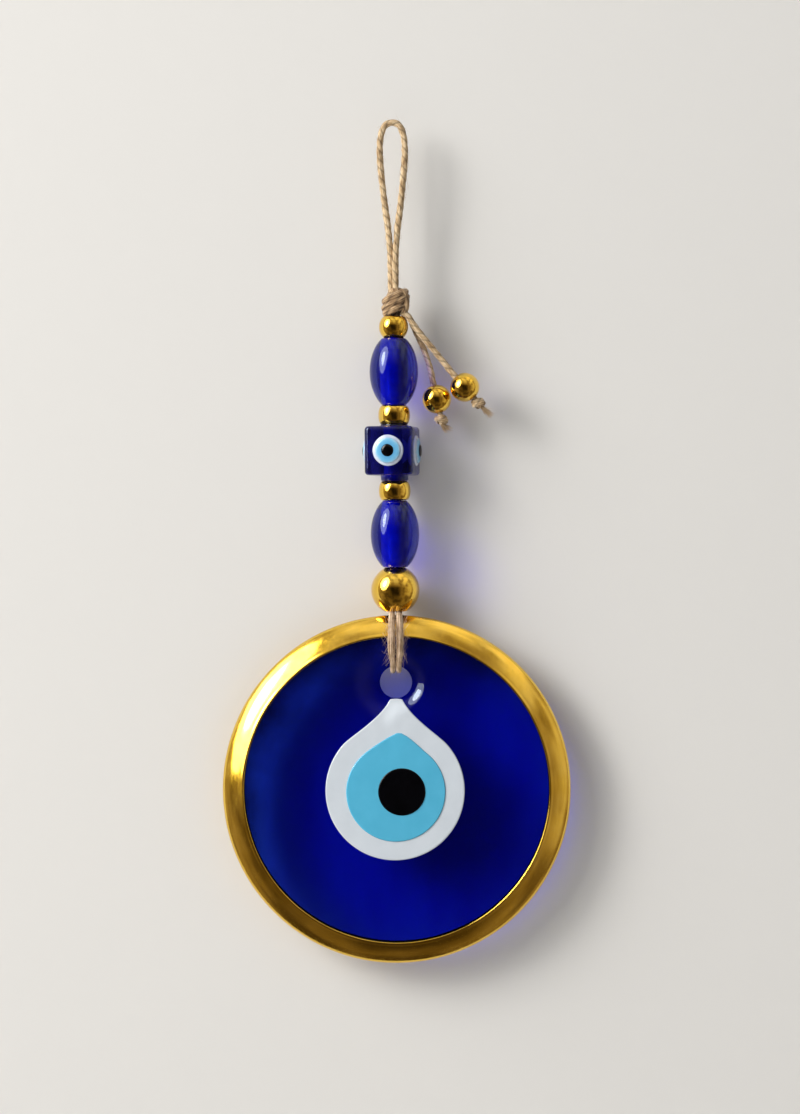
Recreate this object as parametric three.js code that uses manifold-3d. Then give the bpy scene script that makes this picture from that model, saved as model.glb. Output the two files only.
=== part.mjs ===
// Evil eye ornament: a glass disc in a gold rim, hung on a jute cord strung with glass and gold beads.
// Millimetres, +Z up, +X to the right, the face towards -Y.
// The origin is where the top of the hanging loop rests on its nail.
import * as THREE from "three";
import { mergeVertices } from "three/addons/utils/BufferGeometryUtils.js";
import Module from "manifold-3d";

const wasm = await Module();
wasm.setup();

// ---- driving dimensions ----
const CORD = 1.8; // jute cord
const TAIL = 1.7; // jute tails, pulled a little thinner
const GAP = 0.3; // clearance between neighbouring pieces
const STRAND = (CORD + GAP) / 2; // the four strands stand at plus and minus this in X and Y
const BORE = 2.7; // radius of every bead's hole on the main cord

const NECK_TOP = -33; // where the two legs of the loop come together
const KNOT = { top: -46.6, bottom: -54.4, halfWidth: 3.8, halfDepth: 3.5 };

const SMALL_BALL = { radius: 4.25, mouth: 3.0, z: -57.85 };
const BARREL = { radius: 7.0, end: 3.4, half: 9.4, upperZ: -70.7, lowerZ: -117.3 };
const SPACER = { radius: 4.6, half: 2.65, upperZ: -83.25, lowerZ: -104.95 };
const CUBE = { side: 14.0, height: 14.0, corner: 1.2, z: -93.5, turn: (-10 * Math.PI) / 180 };
const CUBE_SHIFT = -0.65; // the block sits a little to the left of its own hole
const CUBE_COLLAR = { radius: 3.95, above: 0.3, below: 1.5 };
const LARGE_BALL = { radius: 7.05, mouth: 3.4, z: -133.45 };

const DISC_Z = -190.7; // centre of the disc
const GLASS = { radius: 46.2, thickness: 6.0, edge: 0.5 };
const RIM = { radius: 50, lip: 43.7, channel: 46.5, half: 4 };
const HOLE = { radius: 4.6, up: 30.8 }; // the cord hole, above the centre of the disc
const WHITE = { x: -0.45, z: -0.25, radius: 19.95, join: 42, tipHalf: 1.85, tipZ: 25.9, thickness: 0.9 };
const BLUE = { x: -0.25, z: -0.6, radius: 14.25, join: 50, tipX: 0.7, tipZ: 16.15, thickness: 0.5 };
const PUPIL = { x: 1.45, z: -0.55, radius: 6.8, thickness: 0.5 };
const LAYER_GAP = 0.15;

const CUBE_EYE = [
  { name: "white", radius: 4.55, from: 0.15, to: 0.75 },
  { name: "blue", radius: 3.5, from: 0.9, to: 1.2 },
  { name: "pupil", radius: 1.8, from: 1.35, to: 1.65 },
];

const TAIL_BALL = { radius: 4.2, bore: 1.2 };
const END_KNOT = { radius: 1.7, length: 4.6, gap: 0.5 };

// ---- materials ----
function finish(color, roughness, metalness) {
  return () => new THREE.MeshStandardMaterial({ color, roughness, metalness });
}
const cobaltGlass = finish(0x061a8c, 0.08, 0);
const navyGlass = finish(0x221d66, 0.12, 0);
const whiteGlass = finish(0xd9dfe4, 0.15, 0);
const skyGlass = finish(0x50b2d4, 0.15, 0);
const blackGlass = finish(0x0a0a12, 0.1, 0);
const gold = finish(0xd7a532, 0.12, 1);
const jute = finish(0xb99a6c, 0.95, 0);

// ---- solids ----
function toSolid(geometry) {
  const bare = geometry.clone();
  bare.deleteAttribute("normal");
  bare.deleteAttribute("uv");
  const merged = mergeVertices(bare, 1e-4);
  const mesh = new wasm.Mesh({
    numProp: 3,
    vertProperties: new Float32Array(merged.attributes.position.array),
    triVerts: new Uint32Array(merged.index.array),
  });
  return new wasm.Manifold(mesh);
}

function toGeometry(solid) {
  const { vertProperties, triVerts } = solid.getMesh();
  const geometry = new THREE.BufferGeometry();
  geometry.setAttribute("position", new THREE.BufferAttribute(vertProperties, 3));
  geometry.setIndex(new THREE.BufferAttribute(triVerts, 1));
  return geometry;
}

function lathe(profile, segments) {
  const points = profile.map(([r, h]) => new THREE.Vector2(r, h));
  return new THREE.LatheGeometry(points, segments);
}

// A turned piece about Z, from a closed profile of [radius, height] pairs.
function turned(profile, segments = 24) {
  return lathe(profile, segments).rotateX(Math.PI / 2);
}

// A flat outline in X and Z, its back at y = back, growing towards -Y.
function slab(shape, thickness, back, edge = 0.2, curveSegments = 16) {
  const geometry = new THREE.ExtrudeGeometry(shape, {
    depth: thickness - 2 * edge,
    bevelEnabled: true,
    bevelThickness: edge,
    bevelSize: edge,
    bevelOffset: -edge,
    bevelSegments: 1,
    curveSegments,
  });
  return geometry.rotateX(Math.PI / 2).translate(0, back - edge, 0);
}

function tube(points, diameter, steps) {
  const section = new THREE.Shape();
  for (let i = 0; i < 8; i += 1) {
    const angle = ((i + 0.5) * Math.PI) / 4;
    const at = [(diameter / 2) * Math.cos(angle), (diameter / 2) * Math.sin(angle)];
    if (i === 0) section.moveTo(...at);
    else section.lineTo(...at);
  }
  const path = new THREE.CatmullRomCurve3(points.map((p) => new THREE.Vector3(...p)));
  return new THREE.ExtrudeGeometry(section, { steps, extrudePath: path });
}

// ---- profiles of the beads, with a straight bore ----
function truncatedBall({ radius, mouth }, bore = BORE, rings = 9) {
  const profile = [];
  const limit = Math.acos(mouth / radius);
  for (let i = 0; i <= rings; i += 1) {
    const angle = -limit + (2 * limit * i) / rings;
    profile.push([radius * Math.cos(angle), radius * Math.sin(angle)]);
  }
  const half = radius * Math.sin(limit);
  const inside = half - (mouth - bore);
  return [[bore, -inside], ...profile, [bore, inside], [bore, -inside]];
}

function barrel({ radius, end, half }, rings = 10) {
  const reach = half / Math.sqrt(1 - (end / radius) ** 2);
  const profile = [];
  for (let i = 0; i <= rings; i += 1) {
    const h = -half * Math.cos((Math.PI * i) / rings);
    profile.push([radius * Math.sqrt(1 - (h / reach) ** 2), h]);
  }
  return [[BORE, -half], ...profile, [BORE, half], [BORE, -half]];
}

function spacer({ radius, half }) {
  const profile = [];
  const flat = 3.4; // radius where the rounded side begins
  for (let i = 0; i <= 8; i += 1) {
    const angle = (-90 + (180 * i) / 8) * (Math.PI / 180);
    profile.push([flat + (radius - flat) * Math.cos(angle), half * Math.sin(angle)]);
  }
  return [[BORE, -half], ...profile, [BORE, half], [BORE, -half]];
}

// ---- assembly ----
const ornament = new THREE.Group();

function add(name, geometry, material, parent = ornament) {
  const mesh = new THREE.Mesh(geometry, material());
  mesh.name = name;
  parent.add(mesh);
  return mesh;
}

// The hanging loop, drawn from its left foot over the nail to its right foot.
const loopSide = [
  [1.9, 0.2],
  [3.15, -2.4],
  [3.6, -6.5],
  [3.45, -11],
  [2.9, -17],
  [2.1, -24],
  [1.35, -29.5],
  [STRAND, NECK_TOP],
];
const loopPath = [
  ...loopSide.map(([x, z]) => [-x, 0, z]).reverse(),
  [0, 0, CORD / 2],
  ...loopSide.map(([x, z]) => [x, 0, z]),
];
add("hanging_loop", tube(loopPath, CORD, 34), jute);

for (const [side, x] of [["left", -STRAND], ["right", STRAND]]) {
  const leg = [[x, 0, NECK_TOP - GAP], [x, 0, KNOT.top + GAP]];
  add(`neck_cord_${side}`, tube(leg, CORD, 4), jute);
}

// The main knot: three crossing turns of cord round a core, joined into one body.
const knotZ = (KNOT.top + KNOT.bottom) / 2;
const knotHalf = (KNOT.top - KNOT.bottom) / 2;
const knotCore = new THREE.SphereGeometry(1, 16, 10);
knotCore.scale(KNOT.halfWidth * 0.88, KNOT.halfDepth * 0.88, knotHalf);
let knot = toSolid(knotCore);
for (const [tilt, lift] of [[28, 1.7], [-24, 0], [22, -1.8]]) {
  const turn = new THREE.TorusGeometry(KNOT.halfWidth - CORD / 2, CORD / 2, 8, 18);
  turn.scale(1, KNOT.halfDepth / KNOT.halfWidth, 1);
  turn.rotateY((tilt * Math.PI) / 180).translate(0, 0, lift);
  knot = knot.add(toSolid(turn));
}
add("main_knot", toGeometry(knot), jute).position.z = knotZ;

// The four strands that run down through the beads.
const strandTop = KNOT.bottom - GAP;
const strandBottom = LARGE_BALL.z - LARGE_BALL.radius + 2.0;
for (const [row, y] of [["front", -STRAND], ["back", STRAND]]) {
  for (const [side, x] of [["left", -STRAND], ["right", STRAND]]) {
    const strand = [[x, y, strandTop], [x, y, strandBottom]];
    add(`core_strand_${row}_${side}`, tube(strand, CORD, 6), jute);
  }
}

// The beads, from the top down.
add("gold_bead_top", turned(truncatedBall(SMALL_BALL)), gold).position.z = SMALL_BALL.z;
add("barrel_bead_upper", turned(barrel(BARREL)), cobaltGlass).position.z = BARREL.upperZ;
add("gold_spacer_upper", turned(spacer(SPACER)), gold).position.z = SPACER.upperZ;
add("gold_spacer_lower", turned(spacer(SPACER)), gold).position.z = SPACER.lowerZ;
add("barrel_bead_lower", turned(barrel(BARREL)), cobaltGlass).position.z = BARREL.lowerZ;
add("gold_bead_large", turned(truncatedBall(LARGE_BALL)), gold).position.z = LARGE_BALL.z;

// The cube bead, turned a little on the cord, with an eye on each side.
const cube = new THREE.Group();
cube.position.z = CUBE.z;
cube.rotation.z = CUBE.turn;
ornament.add(cube);

function roundedSquare(side, corner) {
  const inner = side / 2 - corner;
  const shape = new THREE.Shape();
  shape.absarc(inner, inner, corner, 0, Math.PI / 2);
  shape.absarc(-inner, inner, corner, Math.PI / 2, Math.PI);
  shape.absarc(-inner, -inner, corner, Math.PI, 1.5 * Math.PI);
  shape.absarc(inner, -inner, corner, 1.5 * Math.PI, 2 * Math.PI);
  return shape;
}
const cubeEdge = 0.9;
const block = new THREE.ExtrudeGeometry(roundedSquare(CUBE.side, CUBE.corner), {
  depth: CUBE.height - 2 * cubeEdge,
  bevelThickness: cubeEdge,
  bevelSize: cubeEdge,
  bevelOffset: -cubeEdge,
  bevelSegments: 2,
  curveSegments: 2,
});
block.translate(CUBE_SHIFT, 0, -CUBE.height / 2 + cubeEdge);
const collarTop = CUBE.height / 2 + CUBE_COLLAR.above;
const collarBottom = -CUBE.height / 2 - CUBE_COLLAR.below;
const collar = new THREE.CylinderGeometry(
  CUBE_COLLAR.radius, CUBE_COLLAR.radius, collarTop - collarBottom, 24,
);
collar.rotateX(Math.PI / 2).translate(0, 0, (collarTop + collarBottom) / 2);
const cubeBore = new THREE.CylinderGeometry(BORE, BORE, 2 * CUBE.height, 24);
cubeBore.rotateX(Math.PI / 2);
const cubeSolid = toSolid(block).add(toSolid(collar)).subtract(toSolid(cubeBore));
add("cube_bead", toGeometry(cubeSolid), navyGlass, cube);

const eyeFinish = { white: whiteGlass, blue: skyGlass, pupil: blackGlass };
const sides = ["front", "right", "back", "left"];
sides.forEach((side, index) => {
  const face = new THREE.Group();
  face.position.x = CUBE_SHIFT;
  face.rotation.z = (index * Math.PI) / 2;
  cube.add(face);
  for (const { name, radius, from, to } of CUBE_EYE) {
    const near = -CUBE.side / 2 - from;
    const far = -CUBE.side / 2 - to;
    const layer = lathe([[0, far], [radius - 0.3, far], [radius, near], [0, near]], 20);
    add(`cube_eye_${side}_${name}`, layer, eyeFinish[name], face);
  }
});

// The disc: glass, its gold rim and the three layers of the eye.
const disc = new THREE.Group();
disc.position.z = DISC_Z;
ornament.add(disc);

const glassOutline = new THREE.Shape();
glassOutline.absarc(0, 0, GLASS.radius, 0, 2 * Math.PI);
const cordHole = new THREE.Path();
cordHole.absarc(0, HOLE.up, HOLE.radius, 0, 2 * Math.PI, true);
glassOutline.holes.push(cordHole);
const glass = slab(glassOutline, GLASS.thickness, GLASS.thickness / 2, GLASS.edge, 30);
add("glass_disc", glass, cobaltGlass, disc);

// The rim's section: a sloping band that swells outwards, its crest beside the inner lip,
// the same on both faces but flat on the back of the lip, with a channel for the glass.
const channelHalf = GLASS.thickness / 2 + GAP;
const rimSlope = [
  [RIM.radius - 4.9, RIM.half],
  [RIM.radius - 4.0, 3.75],
  [RIM.radius - 3.0, 3.3],
  [RIM.radius - 1.9, 2.6],
  [RIM.radius - 0.9, 1.7],
  [RIM.radius - 0.25, 0.8],
];
const rimProfile = [
  [RIM.channel, -channelHalf],
  [RIM.lip, -channelHalf],
  [RIM.lip + 0.1, -3.6],
  [RIM.lip + 0.6, -3.9],
  ...rimSlope.map(([r, y]) => [r, -y]),
  [RIM.radius, 0],
  ...[...rimSlope].reverse(),
  [RIM.lip, RIM.half],
  [RIM.lip, channelHalf],
  [RIM.channel, channelHalf],
  [RIM.channel, -channelHalf],
];
add("gold_rim", lathe(rimProfile, 64), gold, disc);

// A circle drawn out to a tip at its top: join is the angle where the circle ends, in degrees.
function drop({ x, z, radius, join }, tip, pull) {
  const angle = (join * Math.PI) / 180;
  const half = tip.half;
  const shape = new THREE.Shape();
  shape.absarc(x, z, radius, Math.PI - angle, 2 * Math.PI + angle);
  const end = [x + radius * Math.cos(angle), z + radius * Math.sin(angle)];
  const start = [x - radius * Math.cos(angle), end[1]];
  const along = [pull.low * Math.sin(angle), pull.low * Math.cos(angle)];
  shape.bezierCurveTo(
    end[0] - along[0], end[1] + along[1],
    tip.x + half + pull.out, tip.z - pull.down,
    tip.x + half, tip.z,
  );
  shape.lineTo(tip.x - half, tip.z);
  shape.bezierCurveTo(
    tip.x - half - pull.out, tip.z - pull.down,
    start[0] + along[0], start[1] + along[1],
    start[0], start[1],
  );
  return shape;
}
const whiteTip = { x: 0, z: WHITE.tipZ, half: WHITE.tipHalf };
const whiteShape = drop(WHITE, whiteTip, { low: 3, out: 2.7, down: 5.3 });
const whiteBack = -GLASS.thickness / 2 - LAYER_GAP;
add("eye_white", slab(whiteShape, WHITE.thickness, whiteBack), whiteGlass, disc);

const blueTip = { x: BLUE.tipX, z: BLUE.tipZ, half: 1.2 };
const blueShape = drop(BLUE, blueTip, { low: 3, out: 2.2, down: 0.9 });
const blueBack = whiteBack - WHITE.thickness - LAYER_GAP;
add("eye_light_blue", slab(blueShape, BLUE.thickness, blueBack), skyGlass, disc);

const pupilShape = new THREE.Shape();
pupilShape.absarc(PUPIL.x, PUPIL.z, PUPIL.radius, 0, 2 * Math.PI);
const pupilBack = blueBack - BLUE.thickness - LAYER_GAP;
add("eye_pupil", slab(pupilShape, PUPIL.thickness, pupilBack), blackGlass, disc);

// The two cords that leave the large bead, pass over the front, go through the hole and up the back.
const rimTop = DISC_Z + RIM.radius;
const holeTop = DISC_Z + HOLE.up + HOLE.radius;
const lowerHalf = [
  [-1.05, strandBottom - GAP],
  [-1.1, rimTop + 1.4],
  [-1.6, rimTop + 0.6],
  [-2.95, rimTop + 0.12],
  [-4.35, rimTop - 1.45],
  [-5.05, rimTop - 3.7],
  [-4.95, rimTop - 7.5],
  [-4.45, rimTop - 11.0],
  [-4.15, holeTop + 1.6],
  [-3.95, holeTop + 0.1],
  [-2.9, holeTop - 1.0],
  [-1.5, holeTop - 1.3],
];
for (const [side, x] of [["left", -STRAND], ["right", STRAND]]) {
  const path = [
    ...lowerHalf.map(([y, z]) => [x, y, z]),
    [x, 0, holeTop - 1.33],
    ...lowerHalf.map(([y, z]) => [x, -y, z]).reverse(),
  ];
  add(`lower_cord_${side}`, tube(path, CORD, 44), jute);
}

// The two tails, each with a gold ball held on by an end knot.
const tails = {
  outer: {
    path: [[3.77, -1.5, -54.6], [7.0, -1.5, -59.1], [12.5, -1.5, -65.9], [17.2, -1.5, -71.8]],
    ball: [20.35, -1.5, -75.4],
    lean: 40,
  },
  inner: {
    path: [
      [4.2, 1.5, -54.6],
      [6.0, 1.5, -58.2],
      [8.4, 1.5, -63.6],
      [10.3, 1.5, -69.2],
      [11.26, 1.5, -73.7],
    ],
    ball: [12.3, 1.5, -78.6],
    lean: 12,
  },
};
const endKnotProfile = [
  [0, -END_KNOT.length],
  [1.15, -END_KNOT.length],
  [0.9, -2.9],
  [END_KNOT.radius, -1.9],
  [END_KNOT.radius, -1.1],
  [1.0, 0],
  [0, 0],
];
for (const [which, { path, ball, lean }] of Object.entries(tails)) {
  const angle = (lean * Math.PI) / 180;
  const down = [Math.sin(angle), 0, -Math.cos(angle)];
  const along = (distance) => ball.map((value, axis) => value + distance * down[axis]);
  const reach = TAIL_BALL.radius;
  add(`tail_cord_${which}`, tube([...path, ball, along(reach + 0.1)], TAIL, 12), jute);

  const bead = truncatedBall({ radius: reach, mouth: TAIL_BALL.bore + 0.3 }, TAIL_BALL.bore);
  const ballMesh = add(`tail_ball_${which}`, turned(bead, 22), gold);
  ballMesh.position.set(...ball);
  ballMesh.rotation.y = -angle;

  const endKnot = add(`tail_end_knot_${which}`, turned(endKnotProfile, 12), jute);
  endKnot.position.set(...along(reach + END_KNOT.gap));
  endKnot.rotation.y = -angle;
}

export default ornament;
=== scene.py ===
"""The looks of an evil eye ornament: glass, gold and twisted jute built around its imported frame.

Shapes are worked out in millimetres and written to Blender in metres.
+X is right, the face looks towards -Y, +Z is up and the origin is where the loop rests on its nail.
"""

import math
import random

import bmesh
import bpy
import numpy as np
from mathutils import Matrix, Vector


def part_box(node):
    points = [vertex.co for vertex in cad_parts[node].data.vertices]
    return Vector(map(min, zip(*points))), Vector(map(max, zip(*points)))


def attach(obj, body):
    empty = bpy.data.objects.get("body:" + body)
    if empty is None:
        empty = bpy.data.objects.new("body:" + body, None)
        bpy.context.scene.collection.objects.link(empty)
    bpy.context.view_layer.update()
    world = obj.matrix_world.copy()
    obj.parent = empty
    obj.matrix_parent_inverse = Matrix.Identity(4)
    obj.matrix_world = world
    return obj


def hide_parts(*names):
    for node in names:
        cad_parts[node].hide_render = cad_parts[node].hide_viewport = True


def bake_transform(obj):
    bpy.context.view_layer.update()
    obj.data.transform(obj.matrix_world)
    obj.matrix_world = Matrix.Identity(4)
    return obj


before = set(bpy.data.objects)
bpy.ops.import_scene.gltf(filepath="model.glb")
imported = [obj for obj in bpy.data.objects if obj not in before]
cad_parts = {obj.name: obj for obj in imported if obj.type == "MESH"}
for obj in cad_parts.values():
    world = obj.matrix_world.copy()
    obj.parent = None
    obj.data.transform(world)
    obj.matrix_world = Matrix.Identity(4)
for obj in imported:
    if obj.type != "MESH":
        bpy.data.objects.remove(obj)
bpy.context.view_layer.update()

MM = 0.001

# ---- driving sizes, in millimetres and degrees ----
CORD = 1.8
TAIL = 1.7
PITCH = 5.5  # one full turn of the cord's two plies
STRAND = 1.05  # the strands stand at plus and minus this in X and Y
BORE = 2.7
NECK_TOP = -33.0
KNOT_TOP = -46.6
KNOT_BOTTOM = -54.4
CUBE_SIDE = 14.0
CUBE_TURN = -10.0
CUBE_SHIFT = -0.65  # the block stands a little left of its bore
CUBE_EDGE = 1.15
COLLAR = 3.95
COLLAR_ABOVE = 0.3  # how far the collar stands out of the block
COLLAR_BELOW = 1.5
BARREL_END = 3.4  # radius of a barrel where it is cut off
BEAD_GAP = 0.03  # half of the gap that is left between two beads
GLASS_HALF = 3.0
GLASS_TRIM = 1.2  # how much the glass is smaller than its CAD node, to end inside the rim
HOLE = 4.6
HOLE_UP = 30.8
DIMPLE = 9.0  # outer radius of the pressed dimple round the hole
DIMPLE_DEPTH = 1.5
DIMPLE_LEFT = 5.0  # how much further the dimple reaches on the left
LAYER_EDGE = 0.34
RIM_BAND = 6.3
RIM_LAP = 1.4  # how far the rim's lip covers the glass
OUTER_LEAN = 40.0
INNER_LEAN = 12.0
BALL_REACH = 4.2


# ---- arithmetic ----
def place(node):
    """Centre and half size of a CAD node, in millimetres."""
    low, high = (np.array(corner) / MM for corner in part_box(node))
    return (low + high) / 2, (high - low) / 2


def smoothstep(value, low, high):
    """0 at low, 1 at high, and smooth between."""
    share = np.clip((value - low) / (high - low), 0, 1)
    return share * share * (3 - 2 * share)


def unit(vectors):
    """The same directions, each of length 1."""
    return vectors / np.linalg.norm(vectors, axis=-1, keepdims=True)


def turn_about(axis, degrees):
    """A turn about X, Y or Z as a 3 by 3 array."""
    angle = math.radians(degrees)
    c, s = math.cos(angle), math.sin(angle)
    if axis == "x":
        return np.array([[1, 0, 0], [0, c, -s], [0, s, c]])
    if axis == "y":
        return np.array([[c, 0, s], [0, 1, 0], [-s, 0, c]])
    return np.array([[c, -s, 0], [s, c, 0], [0, 0, 1]])


def waves(points, size, seed):
    """A smooth, uneven height from -1 to 1 over points, with bumps about size across."""
    count = 5
    rng = np.random.default_rng(seed)
    total = np.zeros(points.shape[:-1])
    for _ in range(count):
        way = unit(rng.normal(size=points.shape[-1])) * rng.uniform(0.6, 1.5)
        total += np.sin(points @ way * math.tau / size + rng.uniform(0, math.tau))
    return total / count


def arc(centre, radii, start, end, steps):
    """Points round an arc of an ellipse, with its angles in degrees."""
    angles = np.radians(np.linspace(start, end, steps))
    return [(centre[0] + radii[0] * math.cos(a), centre[1] + radii[1] * math.sin(a)) for a in angles]


def route(points, step):
    """A smooth curve through the points, as points one step apart."""
    p = np.array(points, float)
    gaps = np.sqrt(np.linalg.norm(np.diff(p, axis=0), axis=1))[:, None]
    slopes = np.diff(p, axis=0) / gaps
    inner = (slopes[:-1] * gaps[1:] + slopes[1:] * gaps[:-1]) / (gaps[:-1] + gaps[1:])
    ways = np.vstack([slopes[:1], inner, slopes[-1:]])
    t = np.linspace(0, 1, 40, endpoint=False)[:, None]
    fine = []
    for i, gap in enumerate(gaps):
        fine.append(
            (2 * t**3 - 3 * t**2 + 1) * p[i]
            + (t**3 - 2 * t**2 + t) * gap * ways[i]
            + (3 * t**2 - 2 * t**3) * p[i + 1]
            + (t**3 - t**2) * gap * ways[i + 1]
        )
    return even(np.vstack([*fine, p[-1:]]), step)


def even(points, step):
    """The same line with its points one step apart."""
    travel = np.concatenate([[0], np.cumsum(np.linalg.norm(np.diff(points, axis=0), axis=1))])
    places = np.linspace(0, travel[-1], max(2, round(travel[-1] / step) + 1))
    return np.stack([np.interp(places, travel, points[:, k]) for k in range(3)], axis=1)


def frames(points):
    """Two directions across a line at each of its points, which turn no more than the line does."""
    ahead = unit(np.gradient(points, axis=0))
    across = np.cross(ahead[0], (0.0, 1.0, 0.0))
    if np.linalg.norm(across) < 0.1:
        across = np.cross(ahead[0], (1.0, 0.0, 0.0))
    first = []
    for way in ahead:
        across = across - (across @ way) * way
        across = across / np.linalg.norm(across)
        first.append(across)
    first = np.array(first)
    return first, np.cross(ahead, first)


# ---- meshes ----
SHARP = 38.0  # an edge that turns by more degrees than this stays sharp


def new_object(name, data):
    """A Blender object that holds the data, put in the scene."""
    made = bpy.data.objects.new(name, data)
    bpy.context.scene.collection.objects.link(made)
    return made


class Shape:
    """The points and faces of one piece, gathered in millimetres."""

    def __init__(self):
        self.points = []
        self.faces = []
        self.uvs = []
        self.slots = []

    def grid(self, points, close_rows=False, uv=(1.0, 1.0), corner=(0.0, 0.0), slot_of=None):
        """A sheet over rows and closed columns of points. uv is its size in texture space."""
        rows, columns = points.shape[:2]
        start = len(self.points)
        self.points.extend(points.reshape(-1, 3))
        last_row = rows if close_rows else rows - 1
        for i in range(last_row):
            for j in range(columns):
                corners = [(i, j), (i, j + 1), (i + 1, j + 1), (i + 1, j)]
                self.faces.append([start + (a % rows) * columns + b % columns for a, b in corners])
                self.uvs.extend(
                    (corner[0] + a * uv[0] / last_row, corner[1] + b * uv[1] / columns) for a, b in corners
                )
                self.slots.append(slot_of[i] if slot_of is not None else 0)

    def cap(self, ring):
        """A flat face across a ring of points."""
        start = len(self.points)
        self.points.extend(ring)
        self.faces.append(list(range(start, start + len(ring))))
        self.uvs.extend([(0.0, 0.0)] * len(ring))
        self.slots.append(0)

    def tube(self, rings, uv, corner=(0.0, 0.0)):
        """A closed tube through rings of points."""
        self.grid(rings, uv=uv, corner=corner)
        self.cap(rings[0])
        self.cap(rings[-1])

    def build(self, name, *looks):
        """The piece as a smooth-shaded Blender object with these materials."""
        mesh = bpy.data.meshes.new(name)
        mesh.from_pydata((np.array(self.points) * MM).tolist(), [], self.faces)
        layer = mesh.uv_layers.new(name="UVMap")
        layer.data.foreach_set("uv", np.array(self.uvs, np.float32).ravel())
        mesh.polygons.foreach_set("material_index", self.slots)
        for look in looks:
            mesh.materials.append(MATERIALS[look])
        work = bmesh.new()
        work.from_mesh(mesh)
        bmesh.ops.remove_doubles(work, verts=work.verts, dist=2e-7)
        bmesh.ops.recalc_face_normals(work, faces=work.faces)
        work.to_mesh(mesh)
        work.free()
        mesh.shade_smooth()
        mesh.set_sharp_from_angle(angle=math.radians(SHARP))
        return new_object(name, mesh)


def settle(piece, body, slot, *nodes):
    """The piece rides on a body and stands for these CAD nodes. The slot is not used."""
    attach(piece, body)
    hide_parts(*nodes)
    return piece


def revolve(profile, sides):
    """Rings of a closed outline of (radius, height) pairs spun about Z."""
    outline = np.array(profile)
    angles = np.linspace(0, math.tau, sides, endpoint=False)
    x = outline[:, :1] * np.cos(angles)
    y = outline[:, :1] * np.sin(angles)
    return np.stack([x, y, np.repeat(outline[:, 1:], sides, axis=1)], axis=-1)


def turned(name, profile, centre, looks, dents, sides=96, turn=None, bore_slot=0):
    """A lathe-turned piece. The part of its outline on the bore takes material bore_slot."""
    rings = revolve(profile, sides)
    rings = rings * (1 + dents * waves(rings, 5.0, len(name))[..., None])
    if turn is not None:
        rings = rings @ turn.T
    radii = np.array(profile)[:, 0]
    on_bore = (radii < BORE + 0.02) & (np.roll(radii, -1) < BORE + 0.02)
    shape = Shape()
    shape.grid(rings + centre, close_rows=True, slot_of=[bore_slot if b else 0 for b in on_bore])
    return shape.build(name, *looks)


# ---- shader nodes ----
def put(tree, socket, value):
    """Link the value to the socket, or set it when it is a plain one."""
    if isinstance(value, bpy.types.NodeSocket):
        tree.links.new(value, socket)
    else:
        socket.default_value = value


def node(tree, kind, inputs=None, **settings):
    """A new shader node with its settings made and its inputs set or linked."""
    made = tree.nodes.new("ShaderNode" + kind)
    for key, value in settings.items():
        setattr(made, key, value)
    for key, value in (inputs or {}).items():
        put(tree, made.inputs[key], value)
    return made


def ramp(tree, factor, stops):
    """A colour ramp through (position, colour) stops."""
    made = node(tree, "ValToRGB", {"Fac": factor})
    elements = made.color_ramp.elements
    while len(elements) < len(stops):
        elements.new(0.5)
    for element, (position, colour) in zip(elements, stops):
        element.position = position
        element.color = (*colour, 1)
    return made.outputs["Color"]


def spread(tree, value, low, high, to_low, to_high):
    """Value carried from one range to another."""
    inputs = {"Value": value, "From Min": low, "From Max": high, "To Min": to_low, "To Max": to_high}
    return node(tree, "MapRange", inputs).outputs["Result"]


def cloud(tree, scale, stretch=(1, 1, 1), detail=3.0, uv=False):
    """Noise over the piece, in its own space or over its UV map, drawn out by stretch."""
    if uv:
        source = node(tree, "UVMap", uv_map="UVMap").outputs["UV"]
    else:
        source = node(tree, "TexCoord").outputs["Object"]
    drawn = node(tree, "Mapping", {"Vector": source, "Scale": stretch})
    inputs = {"Vector": drawn.outputs["Vector"], "Scale": scale, "Detail": detail}
    return node(tree, "TexNoise", inputs).outputs["Fac"]


def maths(tree, operation, first, second):
    """What an operation makes of two values."""
    return node(tree, "Math", {0: first, 1: second}, operation=operation).outputs["Value"]


def mix(tree, share, first, second):
    """The first shader, or the second where share is 1."""
    return node(tree, "MixShader", {0: share, 1: first, 2: second}).outputs["Shader"]


def bumped(tree, height, strength, distance):
    """A normal tilted by a height."""
    inputs = {"Height": height, "Strength": strength, "Distance": distance}
    return node(tree, "Bump", inputs).outputs["Normal"]


def new_material(name, **inputs):
    """A material with one Principled shader, its plain inputs set."""
    material = bpy.data.materials.new(name)
    material.use_nodes = True
    tree = material.node_tree
    shader = tree.nodes["Principled BSDF"]
    for key, value in inputs.items():
        put(tree, shader.inputs[key.replace("_", " ")], value)
    return material, tree, shader


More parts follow.
